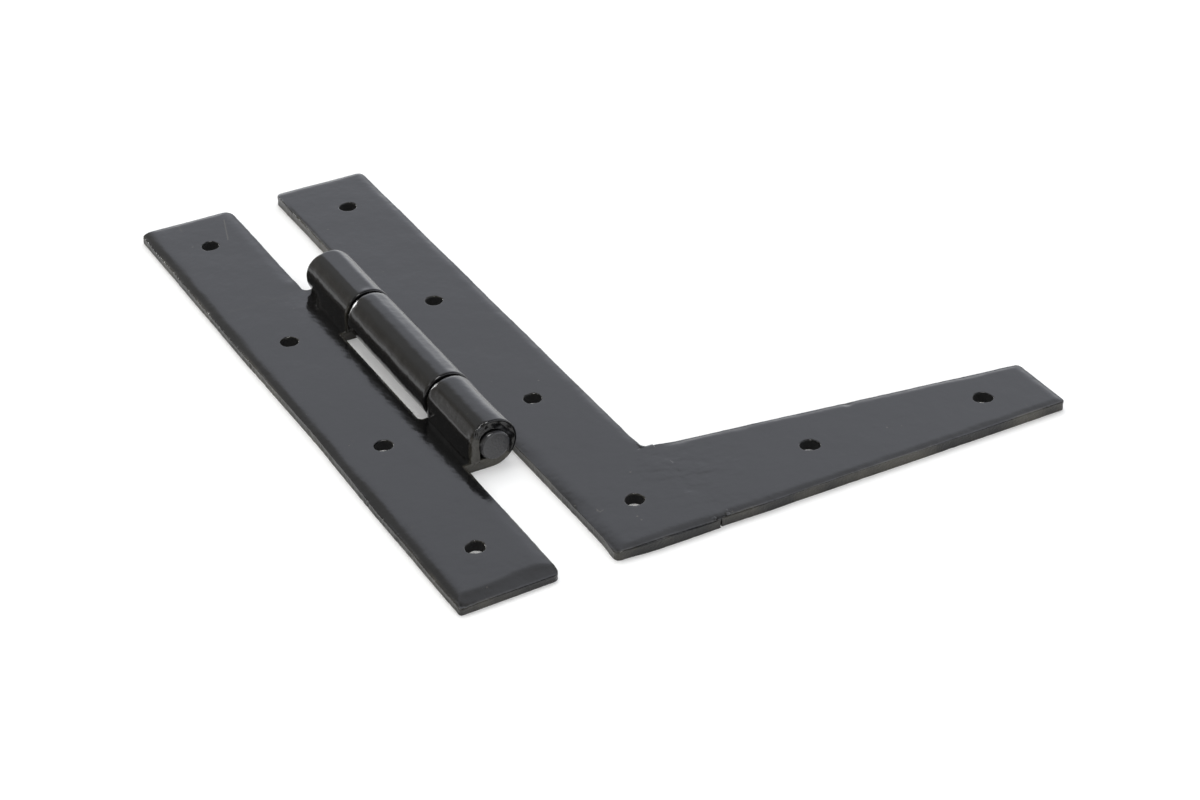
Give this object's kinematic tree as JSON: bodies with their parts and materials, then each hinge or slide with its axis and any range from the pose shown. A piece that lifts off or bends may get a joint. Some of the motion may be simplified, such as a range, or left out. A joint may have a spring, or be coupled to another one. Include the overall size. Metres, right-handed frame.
{
  "type": "hl hinge",
  "caption": "Surface-mounted black iron HL hinge: two long strap leaves on a rolled knuckle barrel, one with a tapered arm welded across its foot.",
  "frame": {"origin": "middle of the h leaf's back face, on the strap's centre line, halfway up the strap", "axes": "+X from the h leaf towards the barrel and the arm's tip, +Y up the leaves along the pin, away from the arm, +Z out of the front face, the side the barrel stands on"},
  "size_m": [0.1581, 0.1802, 0.0126],
  "materials": {
    "painted_bar": "semi-gloss black paint over hand-dressed iron bar",
    "painted_weld": "semi-gloss black paint over dressed weld metal",
    "painted_pin": "semi-gloss black paint over steel rod"
  },
  "bodies": {
    "fixed_leaf": {"h_leaf": "painted_bar", "pin": "painted_pin"},
    "swinging_leaf": {"hl_leaf": "painted_bar", "arm": "painted_bar", "arm_weld": "painted_weld"}
  },
  "joints": [
    {"name": "barrel", "type": "hinge", "parent": "fixed_leaf", "child": "swinging_leaf", "pos_m": [0.01931, 0, 0.0063], "axis": [0, -1, 0], "range_deg": [-90, 180]}
  ]
}
